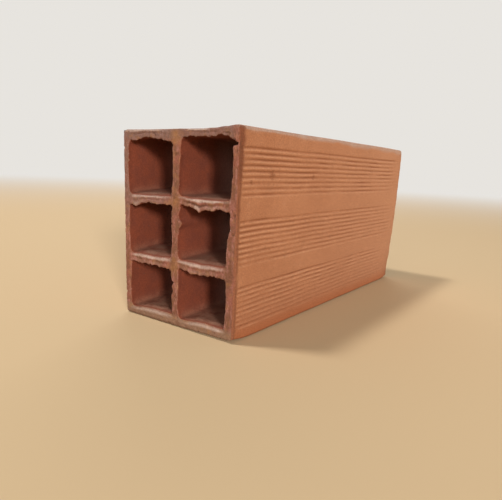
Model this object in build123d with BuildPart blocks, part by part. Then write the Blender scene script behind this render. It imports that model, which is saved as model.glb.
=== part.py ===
# Hollow clay brick with six through-holes: one piece, extruded, wire-cut and fired.
# It lies on a narrow long face, with the holes level along Y. The origin is the centre of the face
# that it rests on, +X is across the brick and +Z is up. Millimetres.
import os

from build123d import *

# Overall size
width = 90.0
height = 118.0
length = 242.0

# Walls and webs
side_wall = 5.5
top_wall = 6.5
bottom_wall = 7.5
upright_web = 6.0
level_web = 5.5
columns = 2
rows = 3

# Rounding that the die leaves along the brick
outer_edge_radius = 2.5
hole_corner_radius = 2.0

# Scores along the two large sides: bands of round-bottomed grooves
bands = 3
grooves_in_band = 9
groove_pitch = 3.0
groove_width = 1.9
groove_depth = 1.0
first_groove_below_top = 10.5
last_groove_above_bottom = 8.5

# Sizes that follow from those above
hole_width = (width - 2 * side_wall - (columns - 1) * upright_web) / columns
hole_height = (height - top_wall - bottom_wall - (rows - 1) * level_web) / rows
column_pitch = hole_width + upright_web
row_pitch = hole_height + level_web
first_column_x = -width / 2 + side_wall + hole_width / 2
first_row_z = bottom_wall + hole_height / 2

band_height = (grooves_in_band - 1) * groove_pitch
band_pitch = (height - first_groove_below_top - last_groove_above_bottom - band_height) / (bands - 1)
groove_radius = (groove_width**2 / 4 + groove_depth**2) / (2 * groove_depth)
groove_centre_x = width / 2 + groove_radius - groove_depth


def hole_centres():
    """Centre of each hole in the section."""
    return [
        (first_column_x + column * column_pitch, first_row_z + row * row_pitch)
        for row in range(rows)
        for column in range(columns)
    ]


def groove_centres():
    """Centre of each groove's arc in the section, on both large sides."""
    return [
        (side * groove_centre_x, last_groove_above_bottom + band * band_pitch + groove * groove_pitch)
        for side in (-1, 1)
        for band in range(bands)
        for groove in range(grooves_in_band)
    ]


# The die's section, extruded to both sides of the middle
with BuildPart() as brick:
    with BuildSketch(Plane.XZ) as section:
        with Locations((0, height / 2)):
            RectangleRounded(width, height, outer_edge_radius)
        with Locations(*hole_centres()):
            RectangleRounded(hole_width, hole_height, hole_corner_radius, mode=Mode.SUBTRACT)
        with Locations(*groove_centres()):
            Circle(groove_radius, mode=Mode.SUBTRACT)
    extrude(amount=length / 2, both=True)

brick.part.label = "brick"

os.makedirs("parts", exist_ok=True)
export_step(brick.part, "parts/brick.step")
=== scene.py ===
# Hollow clay brick: the extruded skin, the scored sides, the wire-cut ends and the fired clay's finish.
# Lengths in the settings are millimetres, and angles are degrees, unless a note says otherwise.
import math

import bpy
import numpy as np
from mathutils import Matrix, Vector


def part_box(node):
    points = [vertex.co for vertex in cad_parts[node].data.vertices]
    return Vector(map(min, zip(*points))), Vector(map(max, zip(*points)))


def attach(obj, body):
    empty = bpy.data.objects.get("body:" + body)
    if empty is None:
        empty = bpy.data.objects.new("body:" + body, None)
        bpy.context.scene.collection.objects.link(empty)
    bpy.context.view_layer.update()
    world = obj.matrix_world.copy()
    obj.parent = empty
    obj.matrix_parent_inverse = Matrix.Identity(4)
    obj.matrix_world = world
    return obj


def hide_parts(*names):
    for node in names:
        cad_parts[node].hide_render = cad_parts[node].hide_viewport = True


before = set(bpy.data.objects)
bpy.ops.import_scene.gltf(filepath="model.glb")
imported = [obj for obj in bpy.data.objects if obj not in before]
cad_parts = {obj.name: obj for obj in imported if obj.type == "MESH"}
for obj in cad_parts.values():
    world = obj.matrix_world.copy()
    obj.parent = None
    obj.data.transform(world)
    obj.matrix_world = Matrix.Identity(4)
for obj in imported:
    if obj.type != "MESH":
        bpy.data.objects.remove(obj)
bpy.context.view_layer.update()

millimetre = 0.001
tiny = 1e-9
print("frame loaded")

# Noise
# A call ends with size, seed and layers. Factors such as line * 31.0 keep the lines' noises apart.

noise = {
    "seed": 20,
    "heights": 8192,  # how many random heights there are, a power of two
    "primes": (73856093, 19349663, 83492791),
    "seedPrime": 7919,
    "seedShift": 17.31,
    "stir": 2246822519,
}
randomHeights = np.random.default_rng(noise["seed"]).uniform(-1.0, 1.0, noise["heights"])


# A smooth step of a share s: 3 s^2 - 2 s^3.
def eased(share):
    return share * share * (3 - 2 * share)


# A bell curve: e to the power of -(offset / width)^2.
def bell(offset, width):
    return np.exp(-((offset / width) ** 2))


# A straight line from one at no distance down to none at the reach.
def fadeOut(distance, reach):
    return np.clip(1 - distance / reach, 0, 1)


# The mean of random heights at the eight corners of a point's cubic cell, weighted by smooth steps of
# its place in the cell.
def cloudNoise(x, y, z, size, seed):
    place = np.stack(np.broadcast_arrays(x, y, z), -1) / size + noise["seedShift"] * (seed + 1)
    cell = np.floor(place).astype(np.int64)
    share = eased(place - cell)
    total = 0.0
    for corner in np.ndindex(2, 2, 2):
        key = (cell + corner) @ np.array(noise["primes"]) + seed * noise["seedPrime"]
        key = (key ^ (key >> 15)) * noise["stir"] & 0xFFFFFFFF
        key = (key ^ (key >> 13)) & (noise["heights"] - 1)
        total = total + randomHeights[key] * np.prod(np.where(corner, share, 1 - share), -1)
    return total


# Layers of cloud noise, each half as large and half as strong as the one before.
def layeredNoise(x, y, z, size, seed, layers=2):
    return sum(cloudNoise(x, y, z, size / 2**k, seed + 10 * k) / 2**k for k in range(layers))


# A curve through points, given as {place: value}, that eases in and out between each two.
def easedCurve(places, points):
    knots, values = np.array(list(points.items()), float).T
    k = np.clip(np.searchsorted(knots, places, side="right") - 1, 0, len(knots) - 2)
    share = eased(np.clip((places - knots[k]) / (knots[k + 1] - knots[k]), 0, 1))
    return values[k] + share * (values[k + 1] - values[k])


# The net over the section

section = {
    "netStep": 0.5,
    "sideWall": 5.5,
    "topWall": 6.5,
    "bottomWall": 7.5,
    "uprightWeb": 6.0,
    "levelWeb": 5.5,
    "columns": 2,
    "rows": 3,
    "edgeRadius": 2.5,
    "cornerRadius": 2.0,
}

lowest, highest = (np.array(corner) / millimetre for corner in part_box("brick"))
width, length, height = highest - lowest
netX = np.linspace(-width / 2, width / 2, round(width / section["netStep"]) + 1)
netZ = np.linspace(0, height, round(height / section["netStep"]) + 1)


# Edges of walls and webs along one direction: wall, hole, web, hole and so on.
def stretchEdges(total, *keys):
    firstWall, lastWall, web, count = (section[key] for key in keys)
    hole = (total - firstWall - lastWall - (count - 1) * web) / count
    starts = firstWall + np.arange(count) * (hole + web)
    return np.concatenate([[0], np.stack([starts, starts + hole], 1).ravel(), [total]])


edgesX = stretchEdges(width, "sideWall", "sideWall", "uprightWeb", "columns") - width / 2
edgesZ = stretchEdges(height, "bottomWall", "topWall", "levelWeb", "rows")
edgeColumns = np.rint((edgesX + width / 2) / section["netStep"]).astype(int)
edgeRows = np.rint(edgesZ / section["netStep"]).astype(int)

# One entry for each hole, counted from the left and from the bottom.
holes = [
    (edgeColumns[2 * c + 1], edgeColumns[2 * c + 2], edgeRows[2 * r + 1], edgeRows[2 * r + 2])
    for r in range(section["rows"])
    for c in range(section["columns"])
]


# Net indices once around a rectangle, with the clay on the left of the way round the outside and on the
# right round a hole.
def aroundRectangle(left, right, bottom, top):
    along = np.arange(left, right)
    up = np.arange(bottom, top)
    i = np.concatenate([along, np.full(len(up), right), along[::-1] + 1, np.full(len(up), left)])
    j = np.concatenate([np.full(len(along), bottom), up, np.full(len(along), top), up[::-1] + 1])
    return i, j


outline = (0, len(netX) - 1, 0, len(netZ) - 1)
clayCells = np.ones((len(netX) - 1, len(netZ) - 1), bool)
for left, right, bottom, top in holes:
    clayCells[left:right, bottom:top] = False
clayPoints = np.zeros((len(netX), len(netZ)), bool)
for di, dj in np.ndindex(2, 2):
    clayPoints[di:di + clayCells.shape[0], dj:dj + clayCells.shape[1]] |= clayCells


# Square corners bent round: a point (a, b), measured from the arc's centre in radii, goes to
# (a * root(1 - b * b / 2), b * root(1 - a * a / 2)).
def roundCorners(x, z, left, right, bottom, top, radius):
    x, z = x.copy(), z.copy()
    for sideX, edgeX in ((-1, left), (1, right)):
        for sideZ, edgeZ in ((-1, bottom), (1, top)):
            centreX, centreZ = edgeX - sideX * radius, edgeZ - sideZ * radius
            a, b = sideX * (x - centreX) / radius, sideZ * (z - centreZ) / radius
            inside = (np.minimum(a, b) > 0) & (np.maximum(a, b) < 1 + tiny)
            roundA, roundB = a * np.sqrt(np.abs(1 - b * b / 2)), b * np.sqrt(np.abs(1 - a * a / 2))
            x = np.where(inside, centreX + sideX * roundA * radius, x)
            z = np.where(inside, centreZ + sideZ * roundB * radius, z)
    return x, z


flatX, flatZ = np.meshgrid(netX, netZ, indexing="ij")
baseX, baseZ = roundCorners(flatX, flatZ, -width / 2, width / 2, 0, height, section["edgeRadius"])
for left, right, bottom, top in holes:
    i, j = aroundRectangle(left, right, bottom, top)
    baseX[i, j], baseZ[i, j] = roundCorners(
        flatX[i, j], flatZ[i, j], netX[left], netX[right], netZ[bottom], netZ[top], section["cornerRadius"]
    )
print("section net:", int(clayPoints.sum()), "points")

# The wire-cut ends
# The wire went down through the wet clay: it dragged the webs down, rounded their upper edges and
# tore a ragged lip out of their lower edges. Each end has curves of {place: value}:
# drops: how far each level edge was dragged down, from the brick's top to its bottom;
# shifts: how far each upright edge was pushed to the right, from the left;
# paleEdges: how pale the top, the two level webs and the bottom wall are along their upper edges,
# rubbed pale and with a painted highlight;
# tipHighlights: the painted highlight on the torn edges of the two level webs;
# creases: how deep the crease under each upper edge is, as a share of its full depth.
# Places are measured from the left, and for the shifts from the bottom.

frontEnd = {
    "seed": 1,
    "drops": [
        {0: 2.1, 20: 2.2, 45: 2, 62: 2, 71: 1.6, 79: 0.9, 86: 0.2, 90: 0},
        {5: 2.2, 12: 1.9, 14.5: 0.8, 18: 0.4, 22: 0.4, 26: 0.1, 29: 0.4, 32: 1.4, 35: 1.9, 38: 2.3,
         42: 2.7, 45: 2.2, 48: 1.2, 50: 0.2, 54: -0.5, 62: 0.1, 70: -0.2, 75: -1.2, 80: -0.4, 85: 0.6},
        {0: 2.4, 10: 2.5, 20: 2.4, 31: 2, 42: 1.5, 48: 1, 51: 0.9, 55: 1.6, 62: 1.5, 70: 1.5, 78: 1.4,
         85: 0.8, 90: 0.3},
        {4: 1.6, 7: 3.2, 11: 4.3, 14: 3.7, 17.5: 2.4, 22: 1.7, 26: 1.8, 29: 2.4, 31: 2.1, 35: 1.9, 37.5: 1,
         39: 0.9, 42: 1, 48: 0.6, 50.5: 0.4, 53: 1.2, 55: 1.1, 57.5: 1.8, 60: 2.6, 63: 3.4, 65: 2.4,
         67.5: 1.4, 70: 2.2, 73: 2.5, 75.5: 1.2, 77.5: 0.7, 82: 2.2, 85: 1, 90: 0.6},
        {0: 2.4, 8: 2.9, 16: 2.4, 24: 2.6, 31: 2.4, 38: 1.7, 42: 1.4, 48: 1.6, 52: 1.6, 58: 1.6, 66: 1.9,
         72: 1.4, 80: 1.3, 85: 0.7, 90: 0.3},
        {4: 2.2, 8: 3.2, 12: 3.6, 15: 3.6, 19: 3.5, 24: 3.1, 29: 2.8, 34: 3.6, 40: 3.7, 42: 3.2, 48: 1.8,
         50: 2.1, 54: 2.6, 57: 3.1, 60: 3.3, 64: 3, 68: 2.6, 72: 2.7, 76: 2, 79: 2.8, 82: 2.4, 86: 1.4,
         90: 0.6},
        {4: 1.9, 9: 1.8, 16: 0.8, 22: 0.2, 27: 0, 33: 0, 38: -0.1, 44: 0.2, 48: 1.7, 52: 1.6, 58: 1,
         64: 0.2, 70: -0.3, 74: 0, 80: 0.1, 86: 0.3, 90: 0.1},
        {0: -0.3, 10: -0.1, 30: -0.1, 50: -0.2, 62: -0.6, 72: -1, 85: -1.2, 90: -1.6},
    ],
    "shifts": [
        {0: 0.4, 12: 0.1, 30: 0, 118: 0},
        {8: -0.4, 20: -0.9, 38: -0.1, 48: -1, 62: -1.4, 74: -1, 84: -1.4, 90: -1.7, 97: -1.9, 106: -1.8,
         112: -0.8},
        {8: 0.2, 14: 0, 20: -0.6, 24: 0.4, 27: -0.2, 29: 0.5, 32: -0.5, 35: -1.2, 38: -0.8, 46: -0.9,
         56: -0.4, 60: -0.9, 70: -1.2, 76: -0.9, 84: -0.7, 90: 0, 112: -0.2},
        {8: -0.4, 11: -0.8, 14: -1.7, 22: -1.2, 30: -0.9, 44: -1.2, 52: -1.9, 60: -1.4, 64.2: 1.2,
         66.5: -1.5, 73: -0.3, 84: -1.2, 98: -0.6, 104: 0.2, 112: 0.4},
        {8: -1.9, 14: -1.8, 20: -1.1, 30: -1.2, 36: -1.6, 46: -1.6, 52: -1.9, 58: -1.4, 62: -0.3, 65: 0.6,
         70: -0.2, 80: 0.2, 88: 0.3, 94: 0.9, 102: 1, 106: 0.4, 107.3: 0.8, 108.1: 4.1, 109.9: 4.2,
         110.6: 1.4, 111.5: 0.2, 118: 0},
        {0: -0.3, 30: -0.1, 60: -0.1, 90: 0, 118: -0.1},
    ],
    "paleEdges": [
        {0: 0.4, 4: 0.7, 30: 0.6, 36: 0.2, 40: 0, 52: 0, 54: 0.9, 66: 0.9, 69: 0.2, 72: 0, 84: 0,
         90: 0.4},
        {0: 0, 6: 0.1, 9.5: 0.58, 30: 0.62, 36: 0.4, 41: 0.2, 44: 0.1, 48: 0.3, 53: 0.4, 56: 0.7, 63: 0.9,
         74: 0.8, 79: 0.5, 84: 0.3, 86.5: 0},
        {0: 0, 6: 0.2, 10: 0.7, 24: 0.85, 34: 0.8, 40: 0.5, 43: 0.2, 47: 0.2, 49: 0.5, 55: 0.7, 65: 0.8,
         75: 0.75, 80: 0.5, 85: 0.1, 88: 0},
        {0: 0, 6: 0.2, 11: 0.4, 22: 0.6, 34: 0.55, 40: 0.35, 43: 0.2, 47: 0.05, 53: 0.15, 58: 0.45,
         66: 0.6, 80: 0.7, 84: 0.3, 87: 0},
    ],
    "tipHighlights": [
        {0: 0, 7: 0.1, 11: 0.45, 15: 0.3, 22: 0.1, 42: 0.1, 50: 0.1, 54: 0.3, 58.5: 0.25, 60.5: 0.75,
         62.5: 0.65, 64.5: 0.2, 70: 0.35, 80: 0.3, 86: 0.1},
        {0: 0, 9: 0.2, 30: 0.3, 40: 0.1, 50: 0.1, 60: 0.3, 74: 0.2, 86: 0},
    ],
    "creases": [
        {0: 0.2, 16: 0.5, 34: 0.2, 50: 0.1, 66: 0.4, 90: 0},
        {6: 0, 12: 0.2, 20: 0.45, 32: 0.3, 40: 0, 50: 0.1, 54: 0.8, 58: 1, 66: 1, 71: 0.5, 82: 0.3,
         85: 0},
        {6: 0, 14: 0.4, 26: 0.2, 36: 0.5, 41: 0, 50: 0.2, 60: 0.4, 72: 0.2, 80: 0.5, 85: 0},
        {0: 0, 90: 0},
    ],
}
backEnd = {
    "seed": 51,
    "drops": [
        {0: 0.2, 14: 0.9, 34: 1.3, 50: 0.6, 70: 1.4, 82: 0.5, 90: 0.3},
        {5: 0.2, 12: 0.9, 20: -0.6, 33: -0.9, 41: 0.6, 49: 0.3, 57: 1.2, 66: -0.4, 78: -0.8, 86: 0.4},
        {0: 0.3, 22: 1.1, 42: 0.4, 48: 0.4, 66: 1.2, 86: 0.4},
        {4: 0.4, 12: 0.6, 19: 2.1, 24: 1.8, 31: 0.4, 42: 0.6, 50: 0.2, 58: 0.9, 70: 2.4, 76: 2.6,
         84: 0.6},
        {0: 0.2, 24: 0.9, 42: 0.5, 48: 0.5, 64: 0.9, 88: 0.2},
        {4: 0.3, 10: 1.8, 15: 2.2, 24: 0.8, 34: 1.3, 42: 0.5, 52: 1.7, 60: 0.9, 72: 1, 84: 0.3},
        {4: 0.4, 16: -0.4, 28: -0.9, 40: -0.2, 50: 0.4, 64: -0.9, 78: -0.6, 88: 0.2},
        {0: -0.4, 20: -0.1, 45: -0.3, 70: -0.1, 90: -0.5},
    ],
    "shifts": [
        {0: 0.5, 40: 0.1, 80: 0.3, 118: 0.2},
        {8: 0.3, 22: -0.6, 40: 0.2, 60: -0.8, 76: 0.1, 96: -0.6, 112: 0.3},
        {8: -0.2, 26: 0.7, 40: -0.3, 56: 0.4, 76: 0.1, 90: 0.8, 112: -0.3},
        {8: 0.4, 20: -0.6, 40: 0.2, 62: 0.6, 76: -0.4, 98: -0.6, 112: 0.1},
        {8: -0.3, 24: 0.6, 40: 0, 58: 0.9, 74: -0.3, 92: 0.5, 112: 0.2},
        {0: -2.4, 12: -2.2, 28: -1.2, 50: -0.4, 80: -0.1, 108: 0, 118: -0.6},
    ],
    "paleEdges": [{0: 0.2, 22: 0.6, 45: 0.1, 66: 0.5, 90: 0.2}] * 4,
    "tipHighlights": [{0: 0.1, 22: 0.4, 45: 0, 70: 0.4, 90: 0.1}] * 2,
    "creases": [{0: 0, 20: 0.7, 38: 0.2, 54: 0.8, 70: 0.3, 90: 0}] * 4,
}

cut = {
    "dragReach": 9.0,  # how far into the brick the dragged shape fades
    "sagReach": 28.0,  # the same for the top, which sagged as a whole
    "lipReach": 1.5,  # the same for the torn lip
    "lipRagged": 1.0,  # height of the torn lip's teeth
    "burrRagged": (0.105, 0.35, 0.35, 0.35, 0.35, 0.105),  # the same for the upright edges
    "burrLines": 20,  # number of the first upright edge in the noise
    "teeth": [(0.75, 31.0, 4.5, 0), (0.55, 47.0, 1.6, 5)],  # share, step between lines, size, seed
    "toothLimits": (-0.6, 1.4),
    "upperRound": 2.5,  # rounding of an edge that the wire came in over
    "floorRound": 3.2,  # the same for the bottom wall
    "lowerRound": 0.45,
    "uprightRound": 0.8,
    "outerRounds": (0.6, 1.0, 0.9, 1.9),  # left, right, bottom and top
    "roundLimits": (3.6, 2.6),  # for the bottom wall and the others, under half their thickness
    "roundChange": 0.30,  # share by which the rounding changes from place to place
    "roundSize": 5.0,  # size of those places
    "paleEdgeMiddles": (0.5, 0.8, 1.1, 1.8),  # of the pale band under each edge that faces up, rubbed and with a painted highlight, from the top
    "paleEdgeWidths": (1.0, 0.85, 1.1, 1.7),
    "tipHighlightBand": (1.1, 1.0),  # middle and width, the same for the painted highlight on the torn edges
    "leftRub": (0.25, 1.2),  # strength and reach of the rubbing beside edges that face left
    "creaseBelow": 3.0,  # crease across each level web, under its upper edge
    "creaseWander": (0.35, 7.0),  # up and down, and over which length
    "creaseWidth": 0.55,
    "creaseDepth": 0.8,
    "smearStart": 1.25,  # strength of a smear at its edge, before its limit
    # The limit on the upright edges, from the bottom up. Past 0.75 they are darker too.
    "smears": {0: 0.70, 8: 0.78, 20: 0.82, 30: 0.70, 37: 0.35, 42: 0.55, 50: 0.88, 60: 0.82, 66: 0.80,
               72: 1.02, 80: 1.08, 86: 0.80, 90: 0.84, 97: 1.20, 108: 1.20, 116: 0.85, 118: 0.80},
    # Slow waves, torn grain and marks dragged downwards: depth, size, stretch downwards and layers.
    "relief": [(0.22, 26.0, 1.0, 2), (0.32, 2.6, 1.0, 3), (0.14, 0.9, 7.0, 2)],
    "pitSize": 1.9,
    "pitFrom": 0.62,  # noise from which a pit sets in
    "pitDepth": 3.0,  # for each unit of noise past that
    "fade": 7.0,  # depth over which the cut face's relief is taken up
    "coreSpots": ((6, 1.3), (4, 0.8), (2, 1.0)),  # level edge under each ochre spot, and its strength
    "coreSize": (3.4, 4.2),  # half its width and height
    "coreDrop": 1.0,
    "coreChange": (0.7, 3.0),  # share by which it changes from place to place, and their size
}


# Values on the edges, shared out in straight lines, so that each wall and web bends as one.
def spreadBetweenEdges(values, edges, net):
    k = np.clip(np.searchsorted(edges, net, side="right") - 1, 0, len(edges) - 2)
    share = (net - edges[k]) / (edges[k + 1] - edges[k])
    return values[k] * (1 - share)[:, None] + values[k + 1] * share[:, None]


# Ragged teeth: two sizes of cloud noise, added and held between limits.
def raggedTeeth(places, line, seed):
    teeth = (share * layeredNoise(places, line * step, 0.0, size, seed + more)
             for share, step, size, more in cut["teeth"])
    return np.clip(sum(teeth), *cut["toothLimits"])


# The slow field bends the walls near the end, and the quick field is the torn lip on lower edges.
def cutFields(lines):
    levels = np.stack([easedCurve(netX + width / 2, line) for line in lines["drops"][::-1]])
    uprights = np.stack([easedCurve(netZ, line) for line in lines["shifts"]])
    teeth = np.zeros_like(levels)
    for line in range(2, len(edgesZ) - 1, 2):
        teeth[line] = raggedTeeth(netX, line, lines["seed"]) * cut["lipRagged"]
    burrs = np.stack([
        raggedTeeth(netZ, line + cut["burrLines"], lines["seed"]) * ragged
        for line, ragged in enumerate(cut["burrRagged"])
    ])
    return {
        "slowX": spreadBetweenEdges(uprights, edgesX, netX),
        "slowZ": -spreadBetweenEdges(levels, edgesZ, netZ).T,
        "quickX": spreadBetweenEdges(burrs, edgesX, netX),
        "quickZ": -spreadBetweenEdges(teeth, edgesZ, netZ).T,
    }


# Distance from the nearest outline, direction into the clay, and rounding radius: the side's and the
# level edge's, mixed by the direction's squares.
def roundingFields(seed):
    choices = []
    for left, right, bottom, top in holes:
        sideX = (flatX >= netX[right]) * 1.0 - (flatX <= netX[left])
        sideZ = (flatZ >= netZ[top]) * 1.0 - (flatZ <= netZ[bottom])
        awayX = flatX - np.clip(flatX, netX[left], netX[right])
        awayZ = flatZ - np.clip(flatZ, netZ[bottom], netZ[top])
        gap = np.hypot(awayX, awayZ)
        size = np.maximum(np.hypot(sideX, sideZ), tiny)
        unitX = np.where(gap > 0, awayX / np.maximum(gap, tiny), sideX / size)
        unitZ = np.where(gap > 0, awayZ / np.maximum(gap, tiny), sideZ / size)
        upper = cut["floorRound"] if bottom == edgeRows[1] else cut["upperRound"]
        level = np.where(sideZ > 0, cut["lowerRound"], upper)
        choices.append((gap, unitX, unitZ, cut["uprightRound"] * unitX**2 + level * unitZ**2))
    gaps = flatX + width / 2, width / 2 - flatX, flatZ, height - flatZ
    choices += zip(gaps, (1, -1, 0, 0), (0, 0, 1, -1), cut["outerRounds"])
    nearest = np.argmin([choice[0] for choice in choices], 0)
    distance, inX, inZ, radius = (np.choose(nearest, fields) for fields in zip(*choices))
    radius = np.maximum(radius, cut["lowerRound"])
    radius = radius * (1 + cut["roundChange"] * cloudNoise(flatX, 0, flatZ, cut["roundSize"], seed + 3))
    radius = np.minimum(radius, np.where(flatZ <= edgesZ[1], *cut["roundLimits"]))
    smear = np.clip(cut["smearStart"] - distance / radius, 0, easedCurve(flatZ, cut["smears"]))
    arris = smear * ((nearest == len(holes)) | (nearest == len(holes) + 1))
    return {"distance": distance, "inX": inX, "inZ": inZ, "radius": radius, "arris": arris}


# Half of a quarter round, in radii: at a share s of it, 1 - root(1 - s * s / 2) behind the face and
# s * (1 - 1 / root 2) inward.
def quarterRound(share):
    return 1 - np.sqrt(1 - share * share / 2), share * (1 - 1 / math.sqrt(2))


# Strengths across the end: each net point takes the curve of the nearest of the numbered level edges.
def acrossEnd(curves, edgeNumbers):
    line = np.abs(flatZ[..., None] - edgesZ[edgeNumbers]).argmin(-1)
    strengths = np.stack([easedCurve(netX + width / 2, curve) for curve in curves])
    return strengths[line, np.arange(len(netX))[:, None]], line


upperEdges = [7, 5, 3, 1]
tornEdges = [4, 2]


# A crease under each rubbed upper edge, as a share of its full depth: a bell curve of the height.
def webCrease(creases, seed):
    strength, line = acrossEnd(creases, upperEdges)
    wander, size = cut["creaseWander"]
    wander = wander * layeredNoise(flatX, seed * 2.0, line * 9.0, size, seed + 20)
    below = edgesZ[upperEdges][line] - flatZ - cut["creaseBelow"] - wander
    return bell(below, cut["creaseWidth"]) * strength


# Depth of the cut face behind the end: half of each edge's rounding, three kinds of noise, pits and
# creases, with the highest point on the end.
def cutRelief(distance, radius, crease, seed):
    behind, inward = quarterRound(fadeOut(distance, radius))
    relief = cut["creaseDepth"] * crease
    for k, (depth, size, stretch, layers) in enumerate(cut["relief"], 1):
        waves = layeredNoise(flatX, seed * (2.0 * k + 1), flatZ / stretch, size, seed + 2 * k + 2, layers)
        relief = relief + depth * (0.5 + 0.5 * waves)
    pits = cloudNoise(flatX, seed * 9.0, flatZ, cut["pitSize"], seed + 9) - cut["pitFrom"]
    relief = relief + cut["pitDepth"] * np.clip(pits, 0, 1)
    relief -= relief[clayPoints].min()
    return behind * radius + relief, inward * radius


# Share of pale clay, rubbed and with a painted highlight: a bell curve of the distance from an edge that
# faces up, by the strength there, a little next to an edge that faces left, and a painted highlight in a
# bell curve above each torn edge.
def rimPaleAndHighlightShare(distance, inX, inZ, paleEdges, tipHighlights):
    strength, line = acrossEnd(paleEdges, upperEdges)
    middle, spread = (np.array(cut[key])[line] for key in ("paleEdgeMiddles", "paleEdgeWidths"))
    upward = np.clip(-inZ, 0, 1) ** 2 * strength * bell(distance - middle, spread)
    leftRub, leftReach = cut["leftRub"]
    leftward = leftRub * np.clip(inX, 0, 1) ** 2 * fadeOut(distance, leftReach)
    tipStrength, tipLine = acrossEnd(tipHighlights, tornEdges)
    isTorn = (np.abs(flatZ - edgesZ[tornEdges][tipLine]) < section["levelWeb"]) * np.clip(inZ, 0, 1) ** 2
    tipMiddle, tipWidth = cut["tipHighlightBand"]
    return upward + leftward + isTorn * tipStrength * bell(distance - tipMiddle, tipWidth)


# Share of ochre clay where the upright web meets the others: each spot the product of two bell curves.
def coreShare(seed):
    total = 0.0
    wide, high = cut["coreSize"]
    for line, strength in cut["coreSpots"]:
        above = flatZ - (edgesZ[line] + edgesZ[line + 1]) / 2 + cut["coreDrop"]
        total = total + strength * bell(flatX, wide) * bell(above, high)
    change, size = cut["coreChange"]
    return np.clip(total * (1 + change * cloudNoise(flatX, seed * 3.0, flatZ, size, seed + 15)), 0, 1)


facings = {"front": 1, "back": -1}  # the way from each end into the brick, along Y
ends = {}
for name, lines in (("front", frontEnd), ("back", backEnd)):
    seed = lines["seed"]
    end = cutFields(lines) | roundingFields(seed)
    end["crease"] = webCrease(lines["creases"], seed)
    end["depth"], end["inward"] = cutRelief(end["distance"], end["radius"], end["crease"], seed)
    end["rimPaleAndHighlight"] = rimPaleAndHighlightShare(end["distance"], end["inX"], end["inZ"], lines["paleEdges"], lines["tipHighlights"])
    end["core"] = coreShare(seed)
    ends[name] = end
print("cut ends shaped")

# The scored sides
# A tuple of three has a value for each band, with the lowest band first.

scores = {
    "inBand": 9,
    "bandMiddles": (20.7, 57.1, 95.2),  # height of each band's middle score
    "pitches": (2.84, 2.95, 3.07),
    "stepWidth": 0.5,
    "reach": 2.3,  # from the deepest line down to where the score runs out
    "wander": (0.3, 30.0),  # how far a score's line wanders up and down, and over which length
    "depths": (1.25, 1.03, 1.18),  # of each band's highest score
    "lowestShare": (0.60, 0.88, 0.85),  # depth of a band's lowest score as a share of its highest
    "farShare": (0.42, 0.70, 0.85),  # depth at the back end as a share of the depth at the front
    "evenDepth": 0.85,  # share of a score's depth that stays the same along the brick
    "depthChange": 0.30,  # share that changes along it
    "changeSize": 22.0,  # length of those changes
    "worn": (0.60, 0.30, 0.15),  # share of a band's scores that is smeared shut in places
    "wornSize": 8.0,
    "wornEdge": 1.3,  # how sharply those places set in
    "frontFade": ((1.5, 4.5), (1.5, 4.5), (2.0, 4.5)),  # where each band sets in behind the front end
    "backFade": ((8.0, 60.0), (4.0, 30.0), (3.0, 34.0)),
    "fadeWander": 0.4,  # share by which that changes from score to score
    "leastFade": 0.08,  # share of the depth that is left at the ends
    "ridgeWear": 0.22,  # depth of the worn spots on the ridges
    "wearSize": 3.2,
    "fullPaint": 1.1,  # depth from which a score's painted shade and highlight lines are at their darkest and palest
    "mostPaint": 1.2,
    "leastShape": 0.02,  # share of a score's shape under which its depth isn't read off
    "paintAbove": 1.0,  # from the deepest line up to where the paint ends
    "shadeLine": (0.15, 0.5),  # painted shade: height under the deepest line, and width
    # painted highlight on the slope: height under the deepest line, and width
    "highlightLine": (1.5, 0.6),
}


def byBand(band, key):
    return np.choose(band, scores[key])


# Numbers of each height's band and score, and how far it is under the score's deepest line.
def scorePlace(z, y=0.0):
    wander, size = scores["wander"]
    z = z + wander * layeredNoise(z / 4.0, y, 9.0, size, 77)
    band = np.abs(z[..., None] - scores["bandMiddles"]).argmin(-1)
    pitch = byBand(band, "pitches")
    lowestLine = byBand(band, "bandMiddles") - (scores["inBand"] - 1) / 2 * pitch
    inBand = np.rint((z - lowestLine - scores["stepWidth"]) / pitch + 0.5)
    inBand = np.clip(inBand, 0, scores["inBand"] - 1)
    return band, band * scores["inBand"] + inBand, lowestLine + inBand * pitch - z


# A comb tooth leaves a step: full depth under a short steep wall, then a slope that runs out as the
# square of what is left of its reach.
def scoreShape(under, least):
    wall = 1 + under / scores["stepWidth"]
    return np.clip(np.where(under < 0, wall, fadeOut(under, scores["reach"]) ** 2), least, 1)


# The shape by the band's depth, less towards its lowest score and the back end, by noise along the
# score, by what isn't smeared shut and by the fade at the ends.
def scoreDepth(z, y, side):
    band, number, under = scorePlace(z, y)
    change = scores["depthChange"] * layeredNoise(number * 9.7, y, side * 40.0, scores["changeSize"], 71, 3)
    smear = layeredNoise(number * 5.3, y, side * 60.0, scores["wornSize"], 73)
    unsmeared = 1 - byBand(band, "worn") * np.clip(smear * scores["wornEdge"], 0, 1)
    along = np.clip(y / length + 0.5, 0, 1)
    lowness = 1 - (number - band * scores["inBand"]) / (scores["inBand"] - 1)
    depth = byBand(band, "depths") * (1 - (1 - byBand(band, "lowestShare")) * lowness)
    depth = depth * (1 - (1 - byBand(band, "farShare")) * along) * (scores["evenDepth"] + change)
    return scoreShape(under, 0) * depth * unsmeared * endFade(band, number, y)


# Scores set in by a smooth step over a stretch behind each end, longer for some than for others.
def endFade(band, number, y):
    wander = 1 + scores["fadeWander"] * cloudNoise(number * 3.7, 3.0, 5.0, 1.9, 75)
    fade = 1.0
    for key, fromEnd in (("frontFade", y + length / 2), ("backFade", length / 2 - y)):
        near, far = (np.choose(band, places) for places in zip(*scores[key]))
        fade = fade * eased(np.clip((fromEnd - near) / (far * wander - near), 0, 1))
    return scores["leastFade"] + (1 - scores["leastFade"]) * fade
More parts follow.
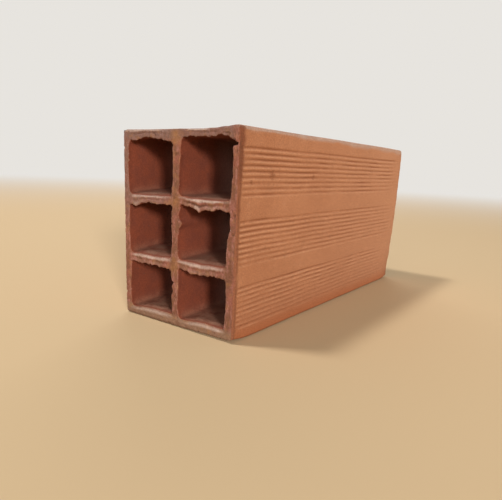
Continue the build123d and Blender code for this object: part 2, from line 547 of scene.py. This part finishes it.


# Painted shade along a score's deepest line and a painted highlight on its slope: bell curves of the height,
# times its depth.
def scoreMarks(z, y, scored):
    _, _, under = scorePlace(z, y)
    depth = scored / scoreShape(under, scores["leastShape"])
    strength = np.clip(depth / scores["fullPaint"], 0, scores["mostPaint"])
    strength = strength * (under > -scores["paintAbove"]) * (under < scores["reach"])
    lines = scores["shadeLine"], scores["highlightLine"]
    return [strength * bell(under - middle, spread) for middle, spread in lines]


# The brick's skins
# Rings of points are carried along the brick. They take the ends' bend, lip and rounding, which fade
# with depth, and the die's drag lines and slow waves.

skin = {
    "nearDepths": [0.5, 1.0, 1.6, 2.5, 4.0, 7.0],  # rings behind each end
    "fullRings": (6, 4),  # how many of them keep every point, outside and in the holes
    "steps": (4.0, 15.0),  # between the rings further in, in the same order
    "thinning": 3,  # further in, a flat stretch keeps one point in this many
    "keepAbove": 1.1,  # heights around a score's deepest line that keep every point
    "keepBelow": 2.9,
    "keepCorner": 5,  # net points from a long edge that keep every point
    "dragLine": 0.09,  # fine lines that the die leaves along the clay
    "dragSize": (1.3, 60.0),  # size, and stretch along the brick
    "wave": 0.35,  # slow waves of the walls
    "waveSize": 46.0,
    "waveFrom": 3.0,  # depth over which they set in
    "chip": 1.1,  # wear of the long outer edges
    "chipSize": 7.0,
    "chipFrom": 0.45,  # noise from which it sets in
    "chipReach": 3.0,
    "cutReach": (0.8, 0.3),  # how far in the cut face's colour goes, in the same order
    "rimReach": 1.3,  # the same for the rubbed clay and its painted highlight
    "arrisReach": {0: 2.4, 20: 2.8, 80: 3.0, 91: 4.2, 100: 5.2, 118: 5.8},  # of smeared clay
    "stripReach": 2.4,  # pale strip under the long top edges, partly a painted highlight, at the front end
    "stripGrowth": 1.2,  # share by which it is wider at the back end
    "stripChange": (0.4, 12.0),  # share by which it comes and goes, and over which length
    "stripIn": 2.1,  # how far it goes round the edge
    "stripShares": (0.75, 0.55),  # strength at the front end and at the back
    "dustFloor": (0.4, 10.0),  # share of dust beside a hole's walls, and the distance to full dust
    "dustWall": (0.4, 7.0),  # share at the foot of the walls, and how far up it goes
    "dustDepths": (0.5, 3.5),  # depths behind the end where it sets in and is full
}


# Depths of the rings from one end to the other: close near each end, even between.
def ringPlaces(step):
    near = np.array([0.0] + skin["nearDepths"])
    middle = np.linspace(near[-1], length - near[-1], round((length - 2 * near[-1]) / step) + 1)[1:-1]
    return np.concatenate([near, middle, (length - near)[::-1]])


# A pale strip under each long top edge, partly a painted highlight, wider towards the back end, which
# comes and goes: a straight line of the height over the lower half of its reach, full above.
def topStrip(x, y, z):
    along = np.clip(y / length + 0.5, 0, 1)
    change, size = skin["stripChange"]
    reach = skin["stripReach"] * (1 + skin["stripGrowth"] * along)
    reach = reach * (1 + change * layeredNoise(x, y, 4.0, size, 79))
    share = np.clip((z - height + reach) / (0.5 * reach), 0, 1) * (np.abs(x) > width / 2 - skin["stripIn"])
    front, back = skin["stripShares"]
    return share * (front + (back - front) * along)


# Wear of the long outer edges: noise past a limit, fading with the distance from the edge.
def edgeChips(x, y, z, seed):
    fromEdge = np.minimum(x + width / 2, width / 2 - x) + np.minimum(z, height - z)
    worn = layeredNoise(x, y, z, skin["chipSize"], seed)
    return np.clip(worn - skin["chipFrom"], 0, 1) * fadeOut(fromEdge, skin["chipReach"]) * skin["chip"]


# Dust lies on a hole's floor, less beside the walls, and a little way up them, fading as a square.
def holeDust(i, j, inZ, fromEnd):
    fromSide = np.minimum(i - i.min(), i.max() - i) * section["netStep"]
    beside, full = skin["dustFloor"]
    onFloor = np.clip(-inZ, 0, 1) * (beside + (1 - beside) * np.clip(fromSide / full, 0, 1))
    foot, reach = skin["dustWall"]
    onWall = foot * fadeOut((j - j.min()) * section["netStep"], reach) ** 2
    start, end = skin["dustDepths"]
    return np.maximum(onFloor, onWall) * np.clip((fromEnd - start) / (end - start), 0, 1)


# One outline carried along: rings of (x, y, z), in millimetres, with the front end at y = -length / 2.
# Bends fade as bell curves of the depth, the rounding is a quarter round, and relief fades evenly.
def carryOutline(i, j, places, isOuter, seed):
    place = places[:, None]
    y = np.broadcast_to(place - length / 2, (len(places), len(i))).copy()
    x, z = (np.broadcast_to(base[i, j], y.shape).copy() for base in (baseX, baseZ))
    sag = np.clip((flatZ[i, j] - edgesZ[-2]) / section["topWall"], 0, 1) * isOuter
    dragReach = cut["dragReach"] + sag * (cut["sagReach"] - cut["dragReach"])
    for name, facing in facings.items():
        end = {key: field[i, j] for key, field in ends[name].items()}
        depth = place if name == "front" else length - place
        slow, quick = bell(depth, dragReach), bell(depth, cut["lipReach"])
        rounding = quarterRound(fadeOut(depth, end["radius"]))[0] * end["radius"]
        x += slow * end["slowX"] + quick * end["quickX"] + end["inX"] * rounding
        z += slow * end["slowZ"] + quick * end["quickZ"] + end["inZ"] * rounding
        y += facing * end["depth"] * fadeOut(depth, cut["fade"])
    front = {key: field[i, j] for key, field in ends["front"].items()}
    fromEnd = np.minimum(place, length - place)
    size, stretch = skin["dragSize"]
    around = np.arange(len(i)) * section["netStep"]
    lines = layeredNoise(around, seed * 11.0, place / stretch, size, seed + 2)
    waves = layeredNoise(baseX[i, j], y, baseZ[i, j], skin["waveSize"], seed + 1)
    push = skin["dragLine"] * (0.5 + 0.5 * lines)
    push = push + skin["wave"] * (0.5 + 0.5 * waves) * np.clip(fromEnd / skin["waveFrom"], 0, 1)
    marks = {
        "cutShare": bell(fromEnd, skin["cutReach"][0 if isOuter else 1]),
        "rimPaleAndHighlightShare": front["rimPaleAndHighlight"] * fadeOut(fromEnd, skin["rimReach"]),
    }
    if isOuter:
        sideX = (i == outline[1]) * 1 - (i == outline[0])
        acrossFlat, upFlat = flatX[i, j], flatZ[i, j]
        scored = scoreDepth(upFlat + 0 * y, y, sideX)
        worn = layeredNoise(acrossFlat, y / 2.0, upFlat, scores["wearSize"], seed + 7)
        x -= sideX * (scored + scores["ridgeWear"] * np.clip(worn, 0, 1))
        push = push + edgeChips(acrossFlat, y, upFlat, seed + 5)
        reach, limit = (easedCurve(upFlat, curve) for curve in (skin["arrisReach"], cut["smears"]))
        marks["arrisShare"] = np.abs(sideX) * np.clip(cut["smearStart"] - place / reach, 0, limit)
        marks["rimPaleAndHighlightShare"] = np.maximum(marks["rimPaleAndHighlightShare"], topStrip(acrossFlat, y, upFlat))
        marks["scoreAndCreaseShade"], marks["ridgeHighlightShare"] = scoreMarks(upFlat, y, scored)
    else:
        marks["liningShare"] = 1.0
        marks["dustShare"] = holeDust(i, j, front["inZ"], fromEnd)
    x += front["inX"] * push
    z += front["inZ"] * push
    return np.stack([x, y, z], -1), {key: np.broadcast_to(mark, y.shape) for key, mark in marks.items()}


# What the finish needs to know of each point, as shares from none to one.
markNames = [
    "cutShare", "rimPaleAndHighlightShare", "liningShare", "scoreAndCreaseShade",
    "ridgeHighlightShare", "dustShare", "arrisShare", "coreShare",
]
meshPoints, meshMarks = [], []


# Points join the mesh's, and their numbers come back. A mark that isn't given is none.
def addPoints(points, marks):
    first = sum(len(earlier) for earlier in meshPoints)
    meshPoints.append(points)
    meshMarks.append(np.stack([marks.get(name, np.zeros(len(points))) for name in markNames], 1))
    return np.arange(first, first + len(points))


# Net points of a cut face: the flat net, bent and rounded by the end's fields. The scores are
# taken up across the side wall, so that the face's rim follows them.
def cutFace(name, facing):
    end = ends[name]
    fromSide = np.minimum(flatX + width / 2, width / 2 - flatX)
    scored = scoreDepth(flatZ, -facing * length / 2 + 0 * flatZ, np.sign(flatX))
    scored = scored * fadeOut(fromSide, section["sideWall"])
    x = baseX + end["slowX"] + end["quickX"] + end["inX"] * end["inward"] - np.sign(flatX) * scored
    z = baseZ + end["slowZ"] + end["quickZ"] + end["inZ"] * end["inward"]
    y = facing * (end["depth"] - length / 2)
    marks = {
        "cutShare": np.ones_like(x), "rimPaleAndHighlightShare": end["rimPaleAndHighlight"], "scoreAndCreaseShade": end["crease"],
        "arrisShare": end["arris"], "coreShare": end["core"],
    }
    return np.stack([x, y, z], -1), marks


netNumbers = {}
for name, facing in facings.items():
    face, marks = cutFace(name, facing)
    numbers = np.full(clayPoints.shape, -1)
    numbers[clayPoints] = addPoints(face[clayPoints], {key: mark[clayPoints] for key, mark in marks.items()})
    netNumbers[name] = numbers

polygonCorners, polygonSizes = [], []


def addPolygons(corners, sizes):
    polygonCorners.append(corners.ravel())
    polygonSizes.append(sizes)


# Faces between a full ring and one of its kept points, each along the full ring from one to the next.
def joinRings(full, kept, thinned, turned):
    gaps = np.diff(np.append(kept, len(full)))
    sizes = gaps + 3
    starts = np.cumsum(sizes) - sizes
    spot = np.arange(sizes.sum()) - np.repeat(starts, sizes)
    gap, first, face = (np.repeat(values, sizes) for values in (gaps, kept, np.arange(len(kept))))
    onFull = full[(first + np.minimum(spot, gap)) % len(full)]
    onThinned = thinned[(face + (spot == gap + 1)) % len(thinned)]
    corners = np.where(spot <= gap, onFull, onThinned)
    if turned:
        corners = corners[np.repeat(starts + sizes - 1, sizes) - spot]
    addPolygons(corners, sizes)


# The skin of one outline: rings joined from end to end, with only the kept points in the middle.
def buildSkin(rectangle, isOuter, seed):
    i, j = aroundRectangle(*rectangle)
    nearCount, step = (skin[key][0 if isOuter else 1] for key in ("fullRings", "steps"))
    places = ringPlaces(step)
    rings, marks = carryOutline(i, j, places, isOuter, seed)
    kept = np.flatnonzero(keptOutside(i, j) if isOuter else np.arange(len(i)) % skin["thinning"] == 0)
    previous, wasThin = netNumbers["front"][i, j], False
    for k in range(1, len(places)):
        isThin = nearCount < k < len(places) - 1 - nearCount
        taken = kept if isThin else np.arange(len(i))
        if k == len(places) - 1:
            current = netNumbers["back"][i, j]
        else:
            current = addPoints(rings[k][taken], {key: mark[k][taken] for key, mark in marks.items()})
        if wasThin and not isThin:
            joinRings(current, kept, previous, not isOuter)
        else:
            joinRings(previous, kept if isThin > wasThin else np.arange(len(previous)), current, isOuter)
        previous, wasThin = current, isThin


# The outside keeps all points of its scored bands and its corners, and thins the rest.
def keptOutside(i, j):
    _, _, under = scorePlace(netZ[j])
    onSide = (i == outline[0]) | (i == outline[1])
    inBand = onSide & (under > -skin["keepAbove"]) & (under < skin["keepBelow"])
    fromCorner = np.maximum(np.minimum(i, outline[1] - i), np.minimum(j, outline[3] - j))
    return inBand | (fromCorner <= skin["keepCorner"]) | ((i + j) % skin["thinning"] == 0)


buildSkin(outline, True, 5)
for number, rectangle in enumerate(holes):
    buildSkin(rectangle, False, 200 + 13 * number)

cellI, cellJ = np.nonzero(clayCells)
for name, facing in facings.items():
    numbers = netNumbers[name]
    quads = np.stack([numbers[cellI + i, cellJ + j] for i, j in ((0, 0), (1, 0), (1, 1), (0, 1))], 1)
    addPolygons(quads[:, ::facing], np.full(len(quads), 4))

points = np.clip(np.concatenate(meshPoints), lowest, highest)
corners, sizes = (np.concatenate(parts) for parts in (polygonCorners, polygonSizes))
brickMesh = bpy.data.meshes.new("fired_brick")
brickMesh.vertices.add(len(points))
brickMesh.vertices.foreach_set("co", (points * millimetre).astype(np.float32).ravel())
brickMesh.loops.add(len(corners))
brickMesh.loops.foreach_set("vertex_index", corners.astype(np.int32))
brickMesh.polygons.add(len(sizes))
brickMesh.polygons.foreach_set("loop_start", (np.cumsum(sizes) - sizes).astype(np.int32))
brickMesh.update(calc_edges=True)
brickMesh.validate()
brickMesh.shade_smooth()
for name, values in zip(markNames, np.concatenate(meshMarks).T):
    attribute = brickMesh.attributes.new(name, "FLOAT", "POINT")
    attribute.data.foreach_set("value", values.astype(np.float32))
brick = bpy.data.objects.new("fired_brick", brickMesh)
bpy.context.scene.collection.objects.link(brick)
print("brick skinned:", len(points), "points,", (sizes - 2).sum(), "triangles")

# Finish

clay = {
    "skin": (0.428, 0.178, 0.082),  # scored sides and beds
    "skinRed": (0.384, 0.153, 0.069),
    "skinPale": (0.540, 0.262, 0.142),
    "skinLowShade": (0.323, 0.112, 0.048),  # painted shade towards the floor
    "skinFootShade": (0.360, 0.100, 0.030),  # painted shade in the lowest few millimetres
    "valleyShade": (0.235, 0.078, 0.030),  # painted shade in the deepest lines of the scores and in the pits
    "ridgeHighlight": (0.600, 0.290, 0.155),  # painted highlight on the slopes of the scores that face up
    "arris": (0.240, 0.083, 0.037),  # smeared upright edges
    "arrisHigh": (0.190, 0.056, 0.024),
    "arrisEdge": (0.155, 0.050, 0.021),
    "cut": (0.262, 0.090, 0.056),  # wire-cut ends
    "cutBrown": (0.175, 0.070, 0.036),
    "cutRose": (0.360, 0.152, 0.116),
    # painted shade in the creases across the level webs
    "crease": (0.110, 0.040, 0.022),
    "cutDull": (0.190, 0.104, 0.080),  # top wall
    "cutGrey": (0.205, 0.125, 0.102),  # upper left of the end
    "cutOlive": (0.230, 0.132, 0.078),  # bottom wall
    "core": (0.300, 0.132, 0.048),  # ochre, where the webs cross and in blots
    "lining": (0.198, 0.045, 0.020),  # walls of the holes
    "liningDark": (0.168, 0.040, 0.020),
    "liningInner": (0.340, 0.158, 0.115),  # further in: paler and greyer, painted light that lifts the shade deep in the holes
    "dust": (0.230, 0.105, 0.065),  # dust on the floors of the holes
    "dustLow": (0.305, 0.142, 0.086),  # the same in the lowest two
    "rimPaleAndHighlight": (0.462, 0.328, 0.262),  # edges that face up and the long top edges: rubbed pale, with a painted highlight
    "foot": (0.100, 0.045, 0.020),  # painted contact shadow in the lowest two millimetres
    "speck": (0.115, 0.048, 0.030),
    "grit": (0.450, 0.330, 0.250),
}

# A step is (what it follows, start, end, share at the end, share at the start), with the shares one and
# none if they aren't given. It follows a mark, a noise, or a place in metres. A step of two or one is
# the value itself, times a factor if there is one.
grounds = {
    "noises": {  # size, detail, roughness and stretch
        "broad": (34.0, 3.0, 0.6),
        "patch": (7.0, 4.0, 0.6),
        "blot": (4.2, 2.0, 0.55),
        "grain": (0.8, 3.0, 0.6),
        "drawn": (1.5, 3.0, 0.6, (1, 28, 1)),  # along the brick, as the die left it
        "dragged": (1.5, 4.0, 0.65, (1, 1, 3)),  # downwards, as the wire left it
        "ragged": (1.6, 3.0, 0.5),
    },
    "spots": {  # size of the cells, radius in cells, and share of cells without a spot
        "specks": (4.0, 0.12, 0.94),
        "grits": (3.6, 0.08, 0.985),
    },
    "spotCore": 0.6,  # share of a spot's radius that is at full strength
    # Pits in the scored sides: place in metres and size.
    "pits": [((0.045, -0.0890, 0.0930), 4.0), ((0.045, -0.0412, 0.0922), 2.4),
             ((0.045, -0.1091, 0.0890), 1.6), ((0.045, -0.1165, 0.1165), 1.9),
             ((-0.045, 0.0310, 0.0480), 1.7), ((-0.045, -0.0720, 0.0910), 1.3)],
    "pitCore": 0.2,  # share of a pit's size that is at full depth
    "pitRagged": 3.0,  # how far noise bends its edge
    # footing: strength of the painted contact shadow, from the skin to the cut face
    "straightSteps": {"blotched": ("patch", 0.3, 0.6, 1.0, 0.55), "footing": ("cutShare", 0, 1, 0.7, 0.3)},
    "smearBlotch": (0.8, -0.40),  # factor of the patches in the smear's edge, and its shift
    "shade": ("grain", 0.25, 0.75, 1.16, 0.80),
    "roughness": ("patch", 0.2, 0.8, 0.96, 0.82),
    "gloss": 0.25,
    "bumps": {"grain": 0.16, "drawn": 0.14, "torn": 0.30, "pitted": -0.25},  # heights
}

# Each finish is a base colour and coats over it. A coat lies on with the product of its steps.
finishes = {
    "skinFinish": ("skinRed", [
        ("skin", ("broad", 0.30, 0.66)), ("skinPale", ("patch", 0.50, 0.85, 0.35)),
        # Paler towards the back end: painted light.
        ("skinRed", ("drawn", 0.50, 0.75, 0.35)), ("skinPale", ("along", -0.12, 0.13, 0.45)),
        # Darker towards the floor and in the lowest millimetres: painted shade.
        ("skinLowShade", ("up", 0.037, 0.0, 0.65), ("along", 0.10, -0.06, 1.0, 0.6)),
        ("skinFootShade", ("up", 0.0120, 0.0010, 0.6)),
        ("skinRed", ("along", -0.098, -0.117, 0.9), ("up", 0.085, 0.105)),
        # Painted highlight on the scores' slopes that face up, painted shade along their deepest lines.
        ("ridgeHighlight", ("ridgeHighlightShare", 0.1, 1.0, 0.52)), ("valleyShade", ("scoreAndCreaseShade", 0.1, 0.9, 0.85)),
    ]),
    "dustFinish": ("dust", [("dustLow", ("up", 0.036, 0.024))]),
    "liningFinish": ("liningDark", [
        # Paler further in: painted light in the holes' shade.
        ("lining", ("patch", 0.30, 0.66)), ("liningInner", ("fromMiddle", 0.094, 0.072, 0.9)),
        ("dustFinish", ("dustShare",), ("patch", 0.20, 0.60)),
    ]),
    "cutFinish": ("cutBrown", [
        ("cut", ("patch", 0.36, 0.66)), ("cutRose", ("dragged", 0.46, 0.68, 0.80)),
        ("cutGrey", ("up", 0.050, 0.075, 0.4), ("across", 0.002, -0.012)),
        ("cutDull", ("up", 0.1085, 0.1120, 0.75), ("across", 0.0430, 0.0385)),
        ("cutOlive", ("up", 0.0085, 0.0050, 0.8)), ("core", ("blot", 0.52, 0.72, 0.45)),
        ("cutBrown", ("blot", 0.46, 0.30, 0.50)), ("core", ("coreShare", 0.7)),
        # Painted shade in the creases; then the pale upper edges, rubbed and with a painted highlight.
        ("crease", ("scoreAndCreaseShade", 0.10, 0.8, 0.8)), ("rimPaleAndHighlight", ("rimPaleAndHighlightShare", 0.0, 0.9), ("blotched",)),
    ]),
    "arrisFinish": ("arris", [
        ("arrisHigh", ("up", 0.082, 0.094)), ("arrisEdge", ("arrisShare", 0.75, 1.15)),
    ]),
    "firedFinish": ("skinFinish", [
        # The holes' linings, then the pale edges, rubbed and with a painted highlight.
        ("liningFinish", ("liningShare",)), ("rimPaleAndHighlight", ("rimPaleAndHighlightShare", 0.0, 0.9, 0.85), ("blotched",)),
        ("cutFinish", ("cutShare", 0.15, 0.75)),
        ("arrisFinish", ("smeared", 0.15, 0.70, 0.9), ("arrisShare", 0.0, 0.2)),
        # Painted shade in the pits, then the painted contact shadow along the bottom.
        ("valleyShade", ("pitted", 0.7)), ("foot", ("up", 0.0024, 0.0006), ("footing",)),
        ("speck", ("specks",)), ("grit", ("grits",)),
    ]),
}


# A new node with its settings, and with each named input set to a value or wired to an output.
def addNode(tree, kind, inputs, **settings):
    made = tree.nodes.new("ShaderNode" + kind)
    for name, value in settings.items():
        setattr(made, name, value)
    for name, value in inputs.items():
        if isinstance(value, bpy.types.NodeSocket):
            tree.links.new(value, made.inputs[name])
        else:
            isColour = made.inputs[name].type == "RGBA"
            made.inputs[name].default_value = (*value, 1.0) if isColour else value
    return made


def newMaterial(name):
    material = bpy.data.materials.new(name)
    material.use_nodes = True
    return material, material.node_tree, material.node_tree.nodes["Principled BSDF"]


# Noise between 0 and 1 with features of a size in millimetres, each direction divided by a stretch.
def noiseNode(tree, place, size, detail, rough, stretch=(1, 1, 1)):
    scale = tuple(1.0 / share for share in stretch)
    stretched = addNode(tree, "Mapping", {"Vector": place, "Scale": scale}).outputs["Vector"]
    inputs = {"Vector": stretched, "Scale": 1000.0 / size, "Detail": detail, "Roughness": rough}
    return addNode(tree, "TexNoise", inputs).outputs["Fac"]


# A step from low to high, smooth unless another kind is given.
def stepNode(tree, value, low, high, top=1.0, bottom=0.0, kind="SMOOTHSTEP"):
    inputs = {"Value": value, "From Min": low, "From Max": high, "To Min": bottom, "To Max": top}
    return addNode(tree, "MapRange", inputs, interpolation_type=kind).outputs["Result"]


def mathNode(tree, operation, first, second=0.0, third=0.0):
    return addNode(tree, "Math", {0: first, 1: second, 2: third}, operation=operation).outputs["Value"]


def mixColours(tree, share, first, second, blend="MIX"):
    inputs = {0: share, 6: first, 7: second}
    return addNode(tree, "Mix", inputs, data_type="RGBA", blend_type=blend).outputs[2]


# Sparse round spots: the cells of a Voronoi pattern whose random colour is high, up to a radius.
def spotNode(tree, place, size, radius, rarity):
    cells = addNode(tree, "TexVoronoi", {"Vector": place, "Scale": 1000.0 / size})
    chosen = addNode(tree, "SeparateColor", {"Color": cells.outputs["Color"]}).outputs["Red"]
    near = stepNode(tree, cells.outputs["Distance"], radius, radius * grounds["spotCore"])
    return mathNode(tree, "MULTIPLY", near, mathNode(tree, "GREATER_THAN", chosen, rarity))


# Ragged pits at named places: the distance from each, bent by noise.
def pitNodes(tree, place, ragged):
    bend = grounds["pitRagged"] * millimetre
    bent = mathNode(tree, "MULTIPLY_ADD", ragged, bend, -0.5 * bend)
    total = 0.0
    for centre, size in grounds["pits"]:
        away = addNode(tree, "VectorMath", {0: place, 1: centre}, operation="DISTANCE").outputs["Value"]
        edge = size * millimetre
        near = stepNode(tree, mathNode(tree, "ADD", away, bent), edge, edge * grounds["pitCore"])
        total = mathNode(tree, "MAXIMUM", near, total)
    return total


# A finish's colour: its coats mixed over the base one after the other.
def coatedColour(tree, values, colours, base, coats):
    colour = colours[base]
    for name, *steps in coats:
        share = 1.0
        for followed, *numbers in steps:
            factor = values[followed]
            if len(numbers) > 1:
                factor = stepNode(tree, factor, *numbers)
            elif numbers:
                factor = mathNode(tree, "MULTIPLY", factor, *numbers)
            share = mathNode(tree, "MULTIPLY", factor, share)
        colour = mixColours(tree, share, colour, colours[name])
    return colour


def clayMaterial():
    material, tree, shader = newMaterial("fired_clay")
    place = addNode(tree, "TexCoord", {}).outputs["Object"]
    values = {name: addNode(tree, "Attribute", {}, attribute_name=name).outputs["Fac"] for name in markNames}
    values["across"], values["along"], values["up"] = addNode(tree, "SeparateXYZ", {"Vector": place}).outputs
    values["fromMiddle"] = mathNode(tree, "ABSOLUTE", values["along"])
    for name, numbers in grounds["noises"].items():
        values[name] = noiseNode(tree, place, *numbers)
    for name, numbers in grounds["spots"].items():
        values[name] = spotNode(tree, place, *numbers)
    for name, (followed, *numbers) in grounds["straightSteps"].items():
        values[name] = stepNode(tree, values[followed], *numbers, kind="LINEAR")
    values["pitted"] = pitNodes(tree, place, values["ragged"])
    blotch = mathNode(tree, "MULTIPLY_ADD", values["patch"], *grounds["smearBlotch"])
    values["smeared"] = mathNode(tree, "ADD", values["arrisShare"], blotch)

    colours = dict(clay)
    for name, (base, coats) in finishes.items():
        colours[name] = coatedColour(tree, values, colours, base, coats)
    shade, rough = (stepNode(tree, values[name], *numbers)
                    for name, *numbers in (grounds["shade"], grounds["roughness"]))
    colour = mixColours(tree, 1.0, colours["firedFinish"], shade, "MULTIPLY")

    # Torn grain is both noises around none, on the cut face only.
    torn = mathNode(tree, "SUBTRACT", mathNode(tree, "ADD", values["dragged"], values["patch"]), 1.0)
    values["torn"] = mathNode(tree, "MULTIPLY", values["cutShare"], torn)
    relief = 0.0
    for name, bumpHeight in grounds["bumps"].items():
        relief = mathNode(tree, "MULTIPLY_ADD", values[name], bumpHeight, relief)
    bump = addNode(tree, "Bump", {"Height": relief, "Strength": 1.0, "Distance": millimetre})
    tree.links.new(colour, shader.inputs["Base Color"])
    tree.links.new(bump.outputs["Normal"], shader.inputs["Normal"])
    tree.links.new(rough, shader.inputs["Roughness"])
    shader.inputs["Specular IOR Level"].default_value = grounds["gloss"]
    return material


brickMesh.materials.append(clayMaterial())
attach(brick, "root")
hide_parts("brick")
print("brick finished in fired clay")

# Floor and light

studio = {
    "floor": (0.645, 0.465, 0.268),
    "floorRoughness": 0.9,
    "floorGloss": 0.2,
    "backdrop": (0.80, 0.775, 0.735),
    "floorReach": 8.0,  # metres, as are the next two
    "fadeFrom": 0.5,
    "fadeTo": 2.6,
    "sky": (1.0, 0.98, 0.93),
    "skyLevel": 0.22,
}
# Each lamp: the direction that it stands in, its distance and its sides in metres, and the level at
# which it lights a surface that faces it.
lamps = {
    "door_lamp": ((0.775, -0.573, 0.267), 6.0, (0.78, 0.92), 0.80),
    "ceiling_lamp": ((-0.36, -0.24, 0.90), 2.4, (0.30, 0.30), 0.50),
    "back_lamp": ((-0.55, 0.70, 0.46), 3.0, (2.0, 2.0), 0.35),
    "front_lamp": ((0.30, -0.93, 0.20), 3.0, (1.6, 1.0), 0.25),
}


# One for rays that show the background: camera, glossy and transmitted ones.
def seenShare(tree):
    rays = addNode(tree, "LightPath", {}).outputs
    seen = mathNode(tree, "MAXIMUM", rays["Is Camera Ray"], rays["Is Glossy Ray"])
    return mathNode(tree, "MAXIMUM", seen, rays["Is Transmission Ray"])


# For those rays the floor fades into the backdrop's colour with distance.
def floorMaterial():
    material, tree, shader = newMaterial("studio_floor")
    shader.inputs["Base Color"].default_value = (*studio["floor"], 1.0)
    shader.inputs["Roughness"].default_value = studio["floorRoughness"]
    shader.inputs["Specular IOR Level"].default_value = studio["floorGloss"]
    place = addNode(tree, "TexCoord", {}).outputs["Object"]
    reach = addNode(tree, "VectorMath", {0: place}, operation="LENGTH").outputs["Value"]
    share = stepNode(tree, reach, studio["fadeFrom"], studio["fadeTo"])
    share = mathNode(tree, "MULTIPLY", share, seenShare(tree))
    glow = addNode(tree, "Emission", {"Color": studio["backdrop"], "Strength": 1.0}).outputs["Emission"]
    mixed = addNode(tree, "MixShader", {0: share, 1: shader.outputs["BSDF"], 2: glow})
    tree.links.new(mixed.outputs["Shader"], tree.nodes["Material Output"].inputs["Surface"])
    return material


reach = studio["floorReach"]
floorMesh = bpy.data.meshes.new("floor")
corners = [(-reach, -reach, 0), (reach, -reach, 0), (reach, reach, 0), (-reach, reach, 0)]
floorMesh.from_pydata(corners, [], [(0, 1, 2, 3)])
floorMesh.materials.append(floorMaterial())
floor = bpy.data.objects.new("floor", floorMesh)
bpy.context.scene.collection.objects.link(floor)

world = bpy.data.worlds.new("studio")
world.use_nodes = True
tree = world.node_tree
shown = addNode(tree, "Background", {"Color": studio["backdrop"], "Strength": 1.0})
background = tree.nodes["Background"]
background.inputs["Color"].default_value = (*studio["sky"], 1.0)
background.inputs["Strength"].default_value = studio["skyLevel"]
mixed = addNode(tree, "MixShader", {0: seenShare(tree), 1: background.outputs[0], 2: shown.outputs[0]})
tree.links.new(mixed.outputs["Shader"], tree.nodes["World Output"].inputs["Surface"])
bpy.context.scene.world = world
bpy.context.scene.view_settings.view_transform = "Standard"

# A lamp lights a facing surface at level one with pi squared times its distance squared in watts.
brickMiddle = Vector((0, 0, height / 2)) * millimetre
for name, (towards, distance, sides, level) in lamps.items():
    lampData = bpy.data.lights.new(name, "AREA")
    lampData.shape = "RECTANGLE"
    lampData.size, lampData.size_y = sides
    lampData.energy = math.pi**2 * distance**2 * level
    lamp = bpy.data.objects.new(name, lampData)
    lamp.matrix_world = Matrix.Translation(brickMiddle + Vector(towards).normalized() * distance) @ (
        Vector(towards).to_track_quat("Z", "Y").to_matrix().to_4x4())
    bpy.context.scene.collection.objects.link(lamp)
print("studio set")

# Camera

view = {
    "place": (195.8, -317.2, 97.5),
    "azimuth": 35.48,  # turned left from looking along +Y
    "tilt": 14.1,  # down from level
    "roll": 2.69,
    "focalPixels": 470.9,
    "framePixels": 502,
    "middleShift": 34.5,  # pixels from the frame's middle down to the optical axis
    "sensorWidth": 36.0,
    "clipStart": 0.01,  # metres
}
azimuth, tilt, roll = (math.radians(view[key]) for key in ("azimuth", "tilt", "roll"))
cameraData = bpy.data.cameras.new("camera")
cameraData.sensor_width = view["sensorWidth"]
cameraData.lens = view["focalPixels"] / view["framePixels"] * view["sensorWidth"]
cameraData.shift_y = view["middleShift"] / view["framePixels"]
cameraData.clip_start = view["clipStart"]
camera = bpy.data.objects.new("camera", cameraData)
camera.matrix_world = Matrix.Translation(Vector(view["place"]) * millimetre)
for angle, axis in ((azimuth, "Z"), (math.pi / 2 - tilt, "X"), (roll, "Z")):
    camera.matrix_world = camera.matrix_world @ Matrix.Rotation(angle, 4, axis)
bpy.context.scene.collection.objects.link(camera)
bpy.context.scene.camera = camera
